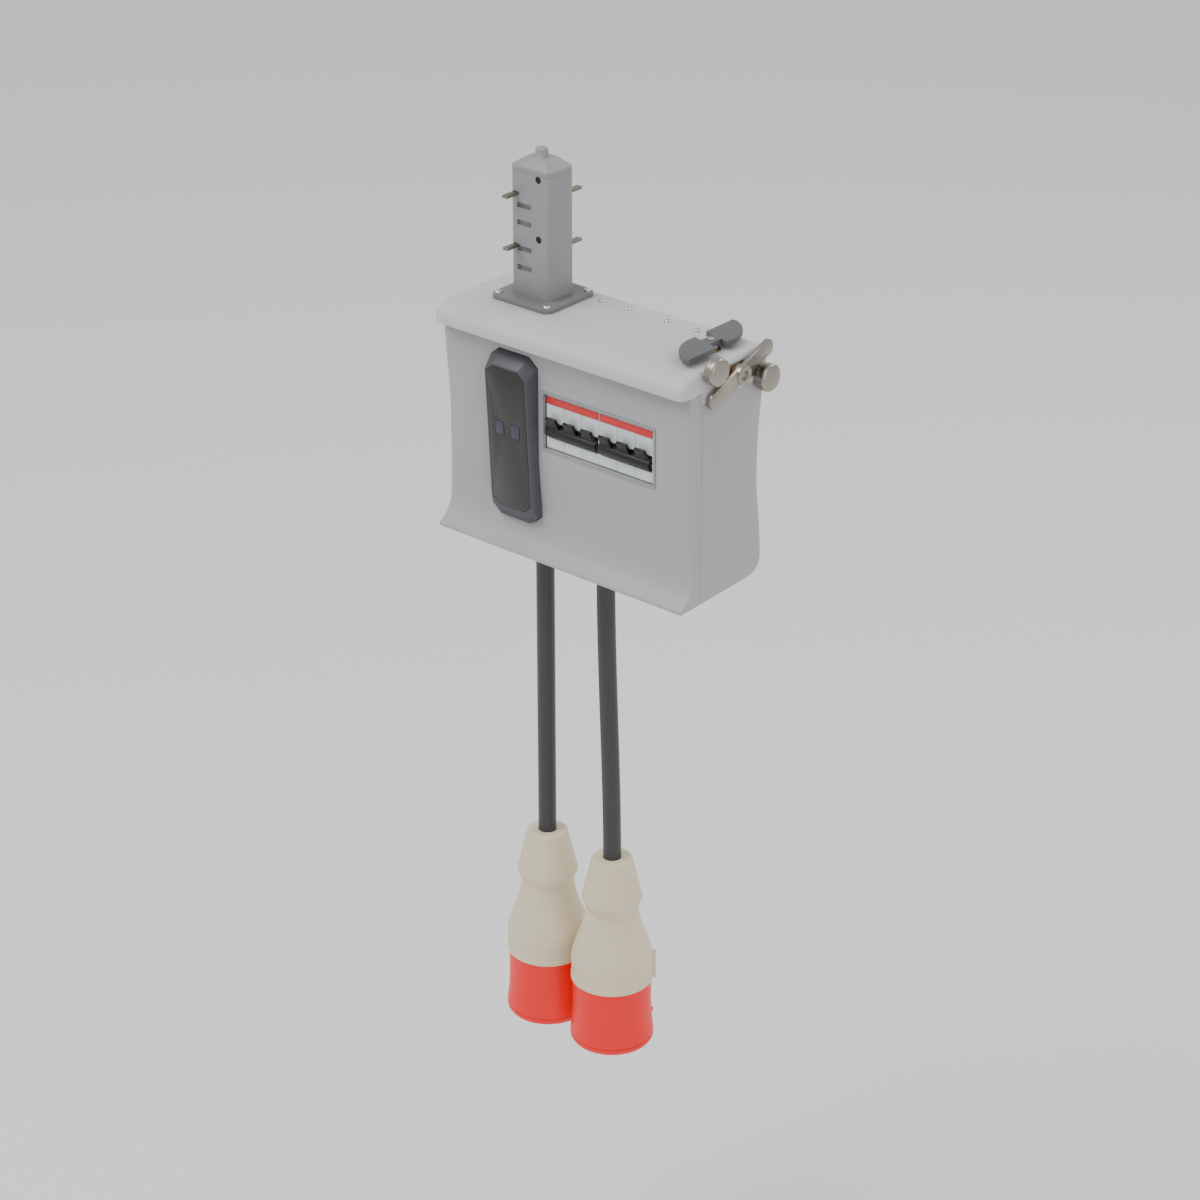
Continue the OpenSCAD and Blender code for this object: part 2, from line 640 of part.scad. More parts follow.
// Breakers on their rail
rail_h = 35;
rail_deep = 7.5;
nose_y = -front_off + 1.4;
shoulder_y = nose_y + 24;
case_h = 82;
breaker_w = poles * pole_w;
rail_face = plate_y - rail_deep;
drum_r = 5.2;
drum_y = nose_y + 1;
drum_z = win_z - 7;
lever_on = 62;
cheek = 1;
pin_r = 1.5;
module din_rail() {
    h = rail_h / 2;
    color([0.78, 0.79, 0.8]) translate([breaker_x - breaker_w - 8, 0, win_z]) rotate([90, 0, 90])
        linear_extrude(2 * breaker_w + 16) polygon([[rail_face, -h], [rail_face + 1, -h],
            [rail_face + 1, -h + 4.5], [plate_y, -h + 4.5], [plate_y, h - 4.5], [rail_face + 1, h - 4.5],
            [rail_face + 1, h], [rail_face, h], [rail_face, h - 5.5], [plate_y - 1, h - 5.5],
            [plate_y - 1, -h + 5.5], [rail_face, -h + 5.5]]);
}
module breaker(k) {
    xa = breaker_x + (k - 1) * breaker_w + 0.1;
    n = nose_h / 2;
    c = case_h / 2;
    g = rail_h / 2 + 0.3;
    back = plate_y - 2;
    color([0.84, 0.85, 0.86]) difference() {
        translate([xa, 0, win_z]) rotate([90, 0, 90]) linear_extrude(breaker_w - 0.2)
            polygon([[nose_y, -n + 1.2], [nose_y, n - 1.2], [nose_y + 1.2, n], [shoulder_y, n],
                [shoulder_y, c], [back, c], [back, g], [rail_face, g], [rail_face, -g], [back, -g], [back, -c],
                [shoulder_y, -c], [shoulder_y, -n], [nose_y + 1.2, -n]]);
        translate([xa + cheek, nose_y - 1, drum_z - drum_r - 0.8])
            cube([breaker_w - 0.2 - 2 * cheek, drum_r + 3.4, 2 * drum_r + 3.2]);
        for (i = [1 : poles - 1]) translate([xa - 0.35 + i * pole_w, nose_y - 1, win_z - n - 1])
            cube([0.5, 1.8, nose_h + 2]);
        for (i = [0 : poles - 1]) for (s = [-1, 1])
            translate([xa + (i + 0.5) * pole_w, shoulder_y - 1, win_z + s * (n + c) / 2])
                rotate([-90, 0, 0]) cylinder(r = 2.8, h = 7);
    }
}
module toggle(k) {
    xa = breaker_x + (k - 1) * breaker_w + 0.1 + cheek + 0.3;
    len = breaker_w - 0.2 - 2 * cheek - 0.6;
    color([0.05, 0.05, 0.05]) difference() {
        union() {
            translate([xa, drum_y, drum_z]) rotate([0, 90, 0]) cylinder(r = drum_r, h = len);
            for (i = [0 : poles - 1])
                translate([xa - cheek - 0.4 + (i + 0.5) * pole_w - toggle_w / 2, drum_y, drum_z])
                    rotate([90, 0, 90]) rotate(180 - lever_on) linear_extrude(toggle_w)
                        polygon([[0, -2], [toggle_len - 1, -1.5], [toggle_len, -0.6], [toggle_len, 0.8],
                            [toggle_len - 1, 1.5], [0, 1.8]]);
        }
        translate([xa - 1, drum_y, drum_z]) rotate([0, 90, 0]) cylinder(r = pin_r + run_gap, h = len + 2);
    }
}
module toggle_pins() {
    color("silver") for (k = [0, 1])
        translate([breaker_x + (k - 1) * breaker_w + 0.1 + cheek, drum_y, drum_z])
        rotate([0, 90, 0]) cylinder(r = pin_r, h = breaker_w - 0.2 - 2 * cheek);
}
module marker_strips() {
    color([0.80, 0.12, 0.12]) for (k = [0, 1])
        translate([breaker_x + (k - 1) * breaker_w + 0.6, nose_y - 0.7, win_z + nose_h / 2 - 7.4])
            cube([breaker_w - 1.2, 0.7, 6]);
}

// Meter: bevelled case leaning forwards at the top, with its window and keys
meter_deep = 18;
face_w = meter_w - 6;
face_h = meter_h - 18;
pocket = 1;
key_gap = 0.3;
keys = [[-8, 8], [8, 8]];
key_w = 8;
key_h = 11;
key_hole = 3.2;
key_proud = 0.6;
module on_face() {
    translate([meter_x, -front_off - meter_out, meter_z]) rotate([90 + meter_lean, 0, 0]) children();
}
module meter_housing() {
    skin = 0.5;
    color([0.25, 0.25, 0.27]) difference() {
        union() {
            translate([meter_x, -front_off + meter_deep, meter_z]) rotate([90, 0, 0])
                linear_extrude(meter_deep) polygon(cut_corner(meter_w, meter_h, meter_cut));
            hull() {
                translate([meter_x, -front_off + skin, meter_z]) rotate([90, 0, 0]) linear_extrude(2 * skin)
                    polygon(cut_corner(meter_w, meter_h, meter_cut));
                on_face() translate([0, 0, -skin]) linear_extrude(skin)
                    polygon(cut_corner(face_w, face_h, meter_cut - 1));
            }
            translate([meter_x - meter_w / 2 - 3, -front_off + wall + 2 * seam + dip,
                meter_z - meter_h / 2 + 12]) cube([meter_w + 6, 2, meter_h - 24]);
        }
        on_face() translate([0, 0, -pocket]) linear_extrude(5)
            polygon(cut_corner(face_w - 3, face_h - 3, meter_cut - 2));
        on_face() for (k = keys)
            translate([k[0] - key_w / 2 - key_gap, k[1] - key_h / 2 - key_gap, -pocket - key_hole])
            cube([key_w + 2 * key_gap, key_h + 2 * key_gap, key_hole + 2]);
    }
}
module meter_window() {
    color([0.10, 0.11, 0.10]) difference() {
        on_face() translate([0, 0, -pocket]) linear_extrude(pocket)
            polygon(cut_corner(face_w - 3.4, face_h - 3.4, meter_cut - 2));
        on_face() for (k = keys)
            translate([k[0] - key_w / 2 - key_gap, k[1] - key_h / 2 - key_gap, -pocket - 1])
            cube([key_w + 2 * key_gap, key_h + 2 * key_gap, 5]);
    }
}
module meter_key(k) {
    foot = -pocket - key_hole + key_travel + 0.2;
    color([0.22, 0.23, 0.30]) on_face() translate([k[0] - key_w / 2, k[1] - key_h / 2, foot])
        cube([key_w, key_h, key_proud - foot]);
}

// Inside: transformers on the breakers' cables, outlet terminals and earth bar on the chassis
ct_h = 20;
ct_d = 24;
ct_drop = 10;
ct_r = 5;
module current_transformers() {
    z = win_z - case_h / 2 - ct_drop - ct_h;
    color([0.15, 0.15, 0.17]) difference() {
        translate([breaker_x - breaker_w, plate_y - ct_d, z]) cube([2 * breaker_w, ct_d, ct_h]);
        for (k = [0 : 2 * poles - 1])
            translate([breaker_x - breaker_w + (k + 0.5) * pole_w, plate_y - ct_d / 2 - 1, z - 1])
            cylinder(r = ct_r, h = ct_h + 2);
    }
}
terminal_n = 6;
terminal_t = 8;
terminal_step = 8.2;
terminal_d = 30;
terminal_h = 45;
terminal_x = x0 + 22;
terminal_z = sole_z + 72;
module terminal_block() {
    color([0.45, 0.5, 0.52]) for (k = [0 : terminal_n - 1])
        translate([terminal_x + terminal_step * k, plate_y - terminal_d, terminal_z]) difference() {
            cube([terminal_t, terminal_d, terminal_h]);
            for (z = [7, terminal_h - 7]) translate([terminal_t / 2, -1, z])
                rotate([-90, 0, 0]) cylinder(r = 2.4, h = 9);
        }
}
earth_len = 70;
earth_t = 6;
earth_h = 10;
earth_foot = 8;
earth_step = 8.4;
earth_x = x0 + 20;
earth_z = sole_z + 42;
module earth_bar() {
    mid = earth_z + earth_h / 2;
    color([0.80, 0.66, 0.30]) difference() {
        union() {
            translate([earth_x, plate_y - earth_t - earth_foot, earth_z]) cube([earth_len, earth_t, earth_h]);
            for (x = [earth_x + 6, earth_x + earth_len - 6]) translate([x, plate_y, mid])
                rotate([90, 0, 0]) cylinder(r = 3.5, h = earth_foot);
        }
        for (k = [0 : 5]) translate([earth_x + 14 + earth_step * k, plate_y - earth_t - earth_foot - 1, mid])
            rotate([-90, 0, 0]) cylinder(r = 2, h = earth_t + 2);
    }
}

// Glands through the underside
gland_af = 30;
gland_hex = 6;
gland_dome = 20;
gland_end = sole_z - gland_hex - gland_dome;
mouth = 5;
cord_gap = 0.3;
module gland(k) {
    color([0.16, 0.16, 0.17]) translate([outlet_x[k], outlet_y, 0]) difference() {
        union() {
            translate([0, 0, sole_z]) cylinder(r = gland_thread_r, h = wall + 9);
            translate([0, 0, sole_z - gland_hex])
                cylinder(r = gland_af / 2 / cos(30), h = gland_hex, $fn = 6);
            translate([0, 0, gland_end]) rotate_extrude() polygon(concat([[0, 0], [10.5, 0]],
                [for (a = [0 : 22.5 : 90]) [11 + 3 * sin(a), 8 - 8 * cos(a) + 0.5]],
                [[14, gland_dome], [0, gland_dome]]));
        }
        translate([0, 0, gland_end - 1]) cylinder(r = cable_d / 2 + cord_gap, h = mouth + 1);
    }
}
module gland_nut(k) {
    color([0.16, 0.16, 0.17]) translate([outlet_x[k], outlet_y, sole_z + wall]) difference() {
        cylinder(r = gland_af / 2 / cos(30) + 1, h = 5, $fn = 6);
        translate([0, 0, -1]) cylinder(r = gland_thread_r, h = 7);
    }
}

// Cords: a tube along hand-chosen points, from the gland's mouth to the connector
cord_top = gland_end + mouth;
nut_z = -473.5;
conn_x = [2, 73];
route_1 = [[2, cord_top], [2, -230], [2, -250], [2, -275], [2, -300], [2, -325], [2, -350], [2, -375],
    [2, -400], [2, -425], [2, -450], [2, -465], [2, nut_z - mouth]];
route_2 = [[66, cord_top], [66, -230], [66.3, -250], [66.9, -275], [67.7, -300], [68.6, -325], [69.6, -350],
    [70.6, -375], [71.5, -400], [72.3, -425], [72.8, -450], [73, -465], [73, nut_z - mouth]];
cord_sides = 12;
module cord(route) {
    n = len(route);
    function lean(i) = let (a = route[max(i - 1, 0)], b = route[min(i + 1, n - 1)])
        i == 0 || i == n - 1 ? 0 : (b[0] - a[0]) / (a[1] - b[1]);
    pts = [for (i = [0 : n - 1]) for (k = [0 : cord_sides - 1])
        let (a = 360 * k / cord_sides, c = cable_d / 2 * cos(a))
        [route[i][0] + c, outlet_y + cable_d / 2 * sin(a), route[i][1] + c * lean(i)]];
    s = cord_sides;
    color([0.14, 0.14, 0.15]) polyhedron(points = pts, faces = concat(
        [[for (k = [0 : s - 1]) k], [for (k = [s - 1 : -1 : 0]) (n - 1) * s + k]],
        [for (i = [0 : n - 2]) for (k = [0 : s - 1])
            [i * s + k, (i + 1) * s + (k + 1) % s, i * s + (k + 1) % s]],
        [for (i = [0 : n - 2]) for (k = [0 : s - 1])
            [i * s + k, (i + 1) * s + k, (i + 1) * s + (k + 1) % s]]));
}

// Connectors, built downwards from the top of their cord nut
module on_connector(k) {
    translate([conn_x[k], outlet_y, nut_z]) children();
}
nut_low = -38;
nut_r = 25.4;
nut_top_r = 14.5;
nut_round = 2.8;
neck_z = -46;
neck_r = 20.8;
ring_z = -115.5;
mouth_z = -168;
lid_z = mouth_z - end_gap;
lid_t = 6.4;
shell_r = shell_d / 2;
collar_r = collar_d / 2;
module cord_nut(k) {
    color([0.83, 0.77, 0.66]) on_connector(k) difference() {
        rotate_extrude() polygon(concat([[0, 0]],
            [for (a = [90 : -30 : 0]) [nut_top_r + nut_round * cos(a), nut_round * (sin(a) - 1)]],
            [[nut_r - 0.2, nut_low + 1.5], [nut_r, nut_low], [nut_r - 0.8, nut_low - 1.6],
                [neck_r + 1, neck_z], [0, neck_z]]));
        translate([0, 0, -mouth]) cylinder(r = cable_d / 2 + cord_gap, h = mouth + 1);
    }
}
module shell(k) {
    color([0.84, 0.78, 0.67]) on_connector(k) {
        rotate_extrude() polygon(concat([[0, neck_z], [neck_r, neck_z], [neck_r + 0.2, neck_z - 4]],
            [for (t = [0 : 1 : 6]) let (a = 75 - 75 * t / 6)
                [neck_r + 1 + (shell_r - neck_r - 1) * (1 - pow(sin(a), 1.6)), neck_z - 6 - 44 * pow(t / 6, 0.9)]],
            [[shell_r - 0.5, ring_z + 14], [shell_r - 0.5, ring_z + 5], [shell_r, ring_z + 4.2],
                [shell_r, ring_z + 0.8], [shell_r - 0.8, ring_z], [0, ring_z]]));
        rotate(latch_turn) translate([shell_r - 2, -6, ring_z + 2]) cube([4.2, 12, 20]);
    }
}
latch_turn = 40;
hinge_y = collar_r + 6.5;
hinge_z = mouth_z + 2;
hinge_r = 3.6;
ear_w = 5;
ear_x = 7;
rim_out = 2.2;
lid_r = collar_r + rim_out - 0.1;
module collar(k) {
    color([0.86, 0.02, 0.02]) on_connector(k) difference() {
        union() {
            rotate_extrude() polygon([[0, ring_z], [collar_r, ring_z], [collar_r, mouth_z + 30],
                [collar_r + 0.6, mouth_z + 16], [collar_r + 1.8, mouth_z + 5], [collar_r + rim_out, mouth_z + 1],
                [collar_r + 1.8, mouth_z], [collar_bore / 2, mouth_z], [collar_bore / 2, ring_z - wall],
                [0, ring_z - wall]]);
            for (s = [-1, 1]) translate([s * ear_x - ear_w / 2, 0, 0]) rotate([90, 0, 90])
                linear_extrude(ear_w) union() {
                    translate([hinge_y, hinge_z]) circle(r = hinge_r);
                    polygon([[collar_r - 1, hinge_z + 12], [collar_r + 2, hinge_z + 12],
                        [hinge_y + hinge_r, hinge_z], [hinge_y, hinge_z - hinge_r],
                        [lid_r + 2 * end_gap, mouth_z], [collar_r - 1, mouth_z]]);
                }
        }
        translate([-ear_x - ear_w, hinge_y, hinge_z]) rotate([0, 90, 0])
            cylinder(r = pin_r, h = 2 * (ear_x + ear_w));
    }
}
tube_ring = 15.5;
tube_out = 4;
earth_out = 5.2;
insert_z = mouth_z + 4;
tube_places = [for (a = [0 : 72 : 288]) tube_ring * [sin(a), cos(a)]];
module insert(k) {
    color([0.12, 0.12, 0.13]) on_connector(k) difference() {
        translate([0, 0, insert_z]) cylinder(r = insert_d / 2, h = ring_z - wall - insert_z);
        for (i = [0 : 4]) translate([tube_places[i][0], tube_places[i][1], insert_z - 1])
            cylinder(r = i == 0 ? earth_out : tube_out, h = 37);
    }
}
module contact_tubes(k) {
    color([0.80, 0.66, 0.30]) on_connector(k) for (i = [0 : 4])
        translate([tube_places[i][0], tube_places[i][1], insert_z + 2]) difference() {
            cylinder(r = i == 0 ? earth_out : tube_out, h = 34);
            translate([0, 0, -1]) cylinder(r = (i == 0 ? earth_bore : tube_bore) / 2, h = 31);
        }
}
module lid(k) {
    strap_x = ear_x - ear_w / 2 - end_gap;
    color([0.86, 0.02, 0.02]) on_connector(k) difference() {
        union() {
            rotate_extrude() polygon(concat([[0, lid_z], [lid_r, lid_z]],
                [for (a = [0 : 22.5 : 90]) [lid_r - 5 * (1 - cos(a)), lid_z - 1.6 - (lid_t - 1.6) * sin(a)]],
                [[0, lid_z - lid_t]]));
            translate([-strap_x, 0, 0]) rotate([90, 0, 90]) linear_extrude(2 * strap_x) union() {
                translate([hinge_y, hinge_z]) circle(r = hinge_r);
                polygon([[lid_r - 6, lid_z - 1], [lid_r, lid_z - 5], [hinge_y + 1, hinge_z - hinge_r + 0.2],
                    [hinge_y - 3, lid_z], [lid_r - 6, lid_z]]);
            }
        }
        translate([-ear_x, hinge_y, hinge_z]) rotate([0, 90, 0]) cylinder(r = pin_r + run_gap, h = 2 * ear_x);
    }
}
module lid_pins() {
    color("silver") for (k = [0, 1]) on_connector(k) translate([-ear_x - ear_w / 2, hinge_y, hinge_z])
        rotate([0, 90, 0]) cylinder(r = pin_r, h = 2 * ear_x + ear_w);
}

hood();
rear_shell();
front_cover();
window_frame();
cover_screws();
deck_screws();
chassis_rail();
chassis_plate();
chassis_screws();
tower_flange();
flange_screws();
contact_tower();
tower_cap();
tower_screws();
contact_bars();
bar_carrier();
spindle_bush();
claw();
claw_spindle();
claw_pinion();
bearing_plate();
plate_screws();
shaft_bush();
lock_handle();
handle_knobs();
handle_sector();
din_rail();
breaker(0);  // breaker_1
breaker(1);  // breaker_2
toggle(0);  // toggle_1
toggle(1);  // toggle_2
toggle_pins();
marker_strips();
meter_housing();
meter_window();
meter_key(keys[0]);  // meter_key_left
meter_key(keys[1]);  // meter_key_right
current_transformers();
terminal_block();
earth_bar();
gland(0);  // gland_1
gland(1);  // gland_2
gland_nut(0);  // gland_nut_1
gland_nut(1);  // gland_nut_2
cord(route_1);  // cord_1
cord(route_2);  // cord_2
cord_nut(0);  // cord_nut_1
cord_nut(1);  // cord_nut_2
shell(0);  // shell_1
shell(1);  // shell_2
collar(0);  // collar_1
collar(1);  // collar_2
insert(0);  // insert_1
insert(1);  // insert_2
contact_tubes(0);  // contact_tubes_1
contact_tubes(1);  // contact_tubes_2
lid(0);  // lid_1
lid(1);  // lid_2
lid_pins();
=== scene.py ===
import math

import bmesh
import bpy
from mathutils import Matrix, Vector


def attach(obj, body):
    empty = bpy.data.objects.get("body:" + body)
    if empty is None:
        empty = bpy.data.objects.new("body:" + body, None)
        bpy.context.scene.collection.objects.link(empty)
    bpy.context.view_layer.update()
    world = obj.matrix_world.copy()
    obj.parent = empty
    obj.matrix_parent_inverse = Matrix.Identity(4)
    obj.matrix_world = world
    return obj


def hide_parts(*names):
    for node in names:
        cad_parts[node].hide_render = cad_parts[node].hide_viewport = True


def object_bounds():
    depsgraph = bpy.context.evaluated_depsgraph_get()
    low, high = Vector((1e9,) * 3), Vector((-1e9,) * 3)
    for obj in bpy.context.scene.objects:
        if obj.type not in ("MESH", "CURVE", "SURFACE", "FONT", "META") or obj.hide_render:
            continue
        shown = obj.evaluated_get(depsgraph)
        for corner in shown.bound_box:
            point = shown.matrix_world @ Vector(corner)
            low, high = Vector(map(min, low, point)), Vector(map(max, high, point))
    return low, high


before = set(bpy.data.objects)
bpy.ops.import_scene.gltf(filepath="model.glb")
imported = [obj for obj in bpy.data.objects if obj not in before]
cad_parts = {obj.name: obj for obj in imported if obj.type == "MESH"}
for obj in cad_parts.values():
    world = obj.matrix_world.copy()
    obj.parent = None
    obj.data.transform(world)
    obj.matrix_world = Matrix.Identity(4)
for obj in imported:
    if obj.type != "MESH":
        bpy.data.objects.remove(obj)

cad_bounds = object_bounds()

# Camera: a long lens, looking down on the box from its right front corner.
camera = bpy.data.objects.new("camera", bpy.data.cameras.new("camera"))
camera.data.lens = 102
camera.data.sensor_width = 36
camera.data.clip_end = 30
camera.location = (1.6372, -1.8385, 0.9593)
camera.rotation_euler = (math.radians(63.60), 0, math.radians(40.66))
bpy.context.collection.objects.link(camera)
bpy.context.scene.camera = camera


# Cables: two round multicore leads in a dark grey sheath, clamped in the glands above
# and in the connectors' nuts below. They hang straight, the right one drawn a little right.
class Wire:
    """One output socket. The usual signs on it add Math nodes to its material."""

    def __init__(self, tree, socket):
        self.tree = tree
        self.socket = socket

    def maths(self, operation, first, second):
        node = self.tree.nodes.new("ShaderNodeMath")
        node.operation = operation
        for place, value in zip(node.inputs, (first, second)):
            if isinstance(value, Wire):
                self.tree.links.new(value.socket, place)
            else:
                place.default_value = value
        return Wire(self.tree, node.outputs[0])

    def __add__(self, other):
        return self.maths("ADD", self, other)

    def __radd__(self, other):
        return self.maths("ADD", other, self)

    def __sub__(self, other):
        return self.maths("SUBTRACT", self, other)

    def __rsub__(self, other):
        return self.maths("SUBTRACT", other, self)

    def __mul__(self, other):
        return self.maths("MULTIPLY", self, other)

    def __rmul__(self, other):
        return self.maths("MULTIPLY", other, self)


class Finish:
    """A material: one Principled shader, and add() for every other node."""

    def __init__(self, name, **settings):
        self.material = bpy.data.materials.new(name)
        self.material.use_nodes = True
        self.tree = self.material.node_tree
        self.shader = self.tree.nodes["Principled BSDF"]
        for words, value in settings.items():
            plug = words.replace("_", " ").title().replace("Ior", "IOR")
            self.shader.inputs[plug].default_value = value

    def add(self, kind, settings, **sockets):
        """A node with its settings; "out" picks its output, and i6 names its input 6."""
        node = self.tree.nodes.new("ShaderNode" + kind)
        for key, value in settings.items():
            if key != "out":
                setattr(node, key, value)
        for name, value in sockets.items():
            numbered = name[0] == "i" and name[1:].isdigit()
            plug = node.inputs[int(name[1:]) if numbered else name]
            if isinstance(value, Wire):
                self.tree.links.new(value.socket, plug)
            else:
                plug.default_value = value
        return Wire(self.tree, node.outputs[settings.get("out", 0)])

    def blend(self, share, first, second):
        """From the first colour to the second, by a share of 0 to 1."""
        return self.add("Mix", {"data_type": "RGBA", "out": 2}, i0=share, i6=first, i7=second)

    def feed(self, socket, wire):
        self.tree.links.new(wire.socket, self.shader.inputs[socket])


def tone(r, g, b):
    """A colour given in the usual 0 to 255 steps, as the shader's linear values."""
    steps = [v / 255 for v in (r, g, b)]
    return tuple(v / 12.92 if v < 0.04045 else ((v + 0.055) / 1.055) ** 2.4 for v in steps) + (1,)


def placed(name, mesh, material, body):
    """A mesh as a piece of the object, smooth but for its edges, riding on its body."""
    smooth_up_to = math.radians(32)
    for face in mesh.polygons:
        face.use_smooth = True
    mesh.set_sharp_from_angle(angle=smooth_up_to)
    mesh.materials.clear()
    mesh.materials.append(material)
    piece = bpy.data.objects.new(name, mesh)
    bpy.context.collection.objects.link(piece)
    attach(piece, body)
    return piece


def tube_along(points, radius, sides):
    """A round tube through points, closed at both ends, each ring square to the path."""
    shape = bmesh.new()
    rings = []
    turns = [2 * math.pi * k / sides for k in range(sides)]
    for i, point in enumerate(points):
        ahead = points[min(i + 1, len(points) - 1)] - points[max(i - 1, 0)]
        ahead.normalize()
        if i in (0, len(points) - 1):
            ahead = Vector((0, 0, -1))
        side = Vector((0, 1, 0)).cross(ahead).normalized()
        out = ahead.cross(side)
        rings.append([shape.verts.new(point + radius * (math.cos(a) * side + math.sin(a) * out))
                      for a in turns])
    for a, b in zip(rings, rings[1:]):
        for k in range(sides):
            shape.faces.new((a[k], a[(k + 1) % sides], b[(k + 1) % sides], b[k]))
    shape.faces.new(rings[0])
    shape.faces.new(rings[-1])
    bmesh.ops.recalc_face_normals(shape, faces=shape.faces)
    mesh = bpy.data.meshes.new("tube")
    shape.to_mesh(mesh)
    shape.free()
    return mesh


sheath = Finish("cable_sheath", roughness=0.42, specular_ior_level=0.45)
along = sheath.add("TexCoord", {"out": "Object"})
drawn_out = sheath.add("Mapping", {}, Vector=along, Scale=(1, 1, 0.04))
grain = sheath.add("TexNoise", {}, Vector=drawn_out, Scale=700.0, Detail=3.0)
patch = sheath.add("TexNoise", {}, Vector=along, Scale=60.0, Detail=2.0)
# The light lengthwise streaks in the sheath's colour are a painted highlight. The same noise also gives the
# sheath's real grain in roughness and bump, and the patches give its own uneven tone.
sheath.feed("Base Color", sheath.blend(grain * 0.6 + patch * 0.4, tone(46, 46, 48), tone(66, 66, 67)))
sheath.feed("Roughness", 0.34 + grain * 0.16)
sheath.feed("Normal", sheath.add("Bump", {}, Strength=0.25, Distance=0.0002, Height=grain))
mm = 0.001
cable_d = 15 * mm
cable_sides = 40
outlet_y = -2
gland_mouth = -213
nut_mouth = -478.5
routes = [
    [(2, gland_mouth), (2, -230), (2, -250), (2, -275), (2, -300), (2, -325), (2, -350), (2, -375),
     (2, -400), (2, -425), (2, -450), (2, -465), (2, nut_mouth)],
    [(66, gland_mouth), (66, -230), (66.3, -250), (66.9, -275), (67.7, -300), (68.6, -325), (69.6, -350),
     (70.6, -375), (71.5, -400), (72.3, -425), (72.8, -450), (73, -465), (73, nut_mouth)],
]
for k, route in enumerate(routes, 1):
    path = [Vector((x, outlet_y, z)) * mm for x, z in route]
    cable = placed(f"cable_{k}", tube_along(path, cable_d / 2, cable_sides), sheath.material, "root")
    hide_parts(f"cord_{k}")

# Floor and light: a plain pale studio floor well under the hanging connectors,
# an even white surround and three soft boxes.
floor_half = 9
floor_drop = 0.25
corners = [(x * floor_half, y * floor_half, 0) for x, y in ((-1, -1), (1, -1), (1, 1), (-1, 1))]
floor_mesh = bpy.data.meshes.new("floor")
floor_mesh.from_pydata(corners, [], [(0, 1, 2, 3)])
floor_mesh.materials.append(Finish("floor_paint", base_color=(0.86, 0.86, 0.86, 1), roughness=0.9).material)
floor = bpy.data.objects.new("floor", floor_mesh)
floor.location.z = cad_bounds[0][2] - floor_drop
bpy.context.collection.objects.link(floor)
world = bpy.data.worlds.new("surround")
world.use_nodes = True
world.node_tree.nodes["Background"].inputs["Color"].default_value = (1, 1, 1, 1)
world.node_tree.nodes["Background"].inputs["Strength"].default_value = 0.75
bpy.context.scene.world = world
lit_spot = Vector((0.05, 0, -0.25))
for name, spot, size, power in (("key", (-1.0, -1.6, 2.6), 2.0, 70), ("fill", (2.6, -0.6, 0.8), 2.0, 16),
                                ("back", (0.6, 2.2, 1.6), 1.6, 20)):
    lamp = bpy.data.objects.new(name, bpy.data.lights.new(name, "AREA"))
    lamp.data.size = size
    lamp.data.energy = power
    lamp.location = spot
    lamp.rotation_euler = (lit_spot - Vector(spot)).to_track_quat("-Z", "Y").to_euler()
    bpy.context.collection.objects.link(lamp)


# Housing: hood, front cover and rear shell are injection moulded in glass-filled plastic
# with a fine grain, the hood a shade lighter. A thin trim frames the breakers' window.
def moulded(name, colour, rough, shade=0.06, grain=0.12, cell=900):
    """Moulded plastic: cloudy colour, fine spark-eroded grain and uneven gloss."""
    finish = Finish(name, roughness=rough)
    place = finish.add("TexCoord", {"out": "Object"})
    cloud = finish.add("TexNoise", {}, Vector=place, Scale=14.0, Detail=3.0, Roughness=0.55)
    fine = finish.add("TexNoise", {}, Vector=place, Scale=float(cell), Detail=2.0, Roughness=0.6)
    dark = tuple(v * (1 - shade) for v in colour[:3]) + (1,)
    light = tuple(min(1, v * (1 + shade)) for v in colour[:3]) + (1,)
    finish.feed("Base Color", finish.blend(cloud * 0.75 + fine * 0.25, dark, light))
    finish.feed("Roughness", rough - 0.06 + cloud * 0.08 + fine * 0.05)
    finish.feed("Normal", finish.add("Bump", {}, Strength=grain, Distance=0.0002, Height=fine))
    return finish.material


def dressed(name, node, material, width, body="root"):
    """The node's own form as a finished piece: joined, its outer edges eased by a round."""
    weld = 0.005 * mm
    flat = math.radians(0.4)
    crease = math.radians(30)
    shape = bmesh.new()
    shape.from_mesh(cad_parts[node].data)
    bmesh.ops.remove_doubles(shape, verts=shape.verts, dist=weld)
    bmesh.ops.dissolve_limit(shape, angle_limit=flat, verts=shape.verts, edges=shape.edges)
    sharp = [e for e in shape.edges if len(e.link_faces) == 2 and e.calc_face_angle(0) > crease
             and e.is_convex]
    bmesh.ops.bevel(shape, geom=sharp, offset=width * mm, segments=2, profile=0.5, affect="EDGES",
                    clamp_overlap=True)
    bmesh.ops.triangulate(shape, faces=[f for f in shape.faces if len(f.verts) > 4])
    mesh = bpy.data.meshes.new(name)
    shape.to_mesh(mesh)
    shape.free()
    piece = placed(name, mesh, material, body)
    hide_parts(node)


hood_grey = moulded("hood_moulding", tone(196, 196, 197), 0.48)
body_grey = moulded("body_moulding", tone(170, 170, 172), 0.5)
trim_grey = moulded("body_trim", tone(150, 151, 154), 0.45)
dressed("hood_moulding", "hood", hood_grey, 0.5)
dressed("front_moulding", "front_cover", body_grey, 0.4)
dressed("rear_moulding", "rear_shell", body_grey, 0.4)
dressed("window_trim", "window_frame", trim_grey, 0.2)


